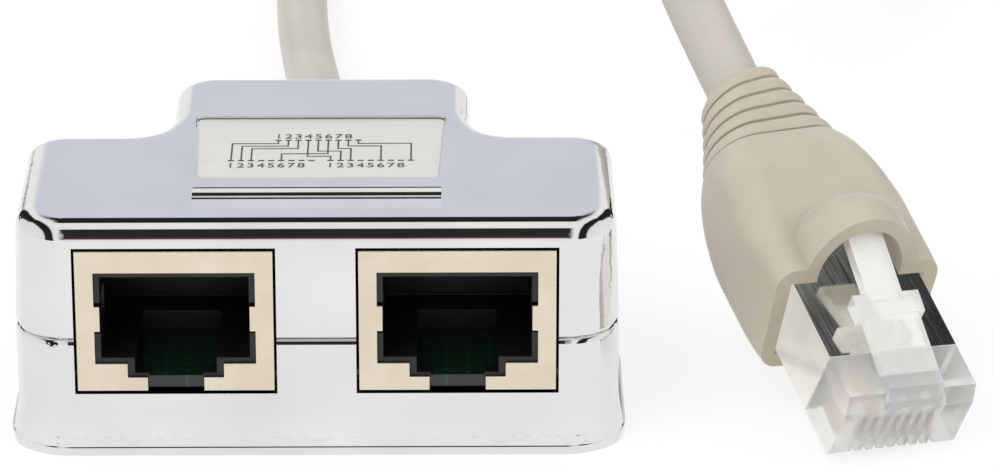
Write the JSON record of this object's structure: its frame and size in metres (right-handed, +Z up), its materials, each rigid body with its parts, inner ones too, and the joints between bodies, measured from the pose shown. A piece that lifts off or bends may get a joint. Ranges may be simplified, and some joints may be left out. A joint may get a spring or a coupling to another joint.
{
  "type": "rj45 splitter adapter",
  "caption": "Chrome plated network splitter with shielded sockets in front, a label on top and a short cord that ends in a booted modular plug.",
  "frame": {"origin": "centre of the housing's footprint, on the surface it stands on", "axes": "+X to the right seen from the sockets, +Y from the sockets towards the cord, +Z up"},
  "size_m": [0.0842, 0.1543, 0.0342],
  "materials": {
    "plated_shell": "bright chrome plating on moulded plastic",
    "label_foil": "printed foil label",
    "board_green": "green solder resist",
    "collar_vinyl": "moulded vinyl",
    "screw_steel": "zinc plated",
    "jack_nickel": "nickel plated sheet",
    "insert_black": "moulded, satin",
    "contact_gold": "gold plated",
    "wire_white_orange": "insulated conductor",
    "wire_orange": "insulated conductor",
    "wire_white_green": "insulated conductor",
    "wire_blue": "insulated conductor",
    "wire_white_blue": "insulated conductor",
    "wire_green": "insulated conductor",
    "wire_white_brown": "insulated conductor",
    "wire_brown": "insulated conductor",
    "cable_vinyl": "satin vinyl jacket",
    "boot_vinyl": "satin vinyl",
    "plug_nickel": "bright nickel plated sheet",
    "plug_clear": "clear moulded plastic"
  },
  "bodies": {
    "root": {"upper_shell": "plated_shell", "lower_shell": "plated_shell", "wiring_label": "label_foil", "circuit_board": "board_green", "cable_collar": "collar_vinyl", "case_screw_front": "screw_steel", "case_screw_left": "screw_steel", "case_screw_right": "screw_steel", "jack_shield_left": "jack_nickel", "jack_insert_left": "insert_black", "jack_contact_left_1": "contact_gold", "jack_contact_left_2": "contact_gold", "jack_contact_left_3": "contact_gold", "jack_contact_left_4": "contact_gold", "jack_contact_left_5": "contact_gold", "jack_contact_left_6": "contact_gold", "jack_contact_left_7": "contact_gold", "jack_contact_left_8": "contact_gold", "jack_shield_right": "jack_nickel", "jack_insert_right": "insert_black", "jack_contact_right_1": "contact_gold", "jack_contact_right_2": "contact_gold", "jack_contact_right_3": "contact_gold", "jack_contact_right_4": "contact_gold", "jack_contact_right_5": "contact_gold", "jack_contact_right_6": "contact_gold", "jack_contact_right_7": "contact_gold", "jack_contact_right_8": "contact_gold", "lead_1": "wire_white_orange", "lead_2": "wire_orange", "lead_3": "wire_white_green", "lead_4": "wire_blue", "lead_5": "wire_white_blue", "lead_6": "wire_green", "lead_7": "wire_white_brown", "lead_8": "wire_brown", "cable": "cable_vinyl", "plug_boot": "boot_vinyl", "plug_shield": "plug_nickel", "plug_body": "plug_clear", "plug_contact_1": "contact_gold", "plug_wire_1": "wire_white_orange", "plug_contact_2": "contact_gold", "plug_wire_2": "wire_orange", "plug_contact_3": "contact_gold", "plug_wire_3": "wire_white_green", "plug_contact_4": "contact_gold", "plug_wire_4": "wire_blue", "plug_contact_5": "contact_gold", "plug_wire_5": "wire_white_blue", "plug_contact_6": "contact_gold", "plug_wire_6": "wire_green", "plug_contact_7": "contact_gold", "plug_wire_7": "wire_white_brown", "plug_contact_8": "contact_gold", "plug_wire_8": "wire_brown"}
  },
  "joints": []
}
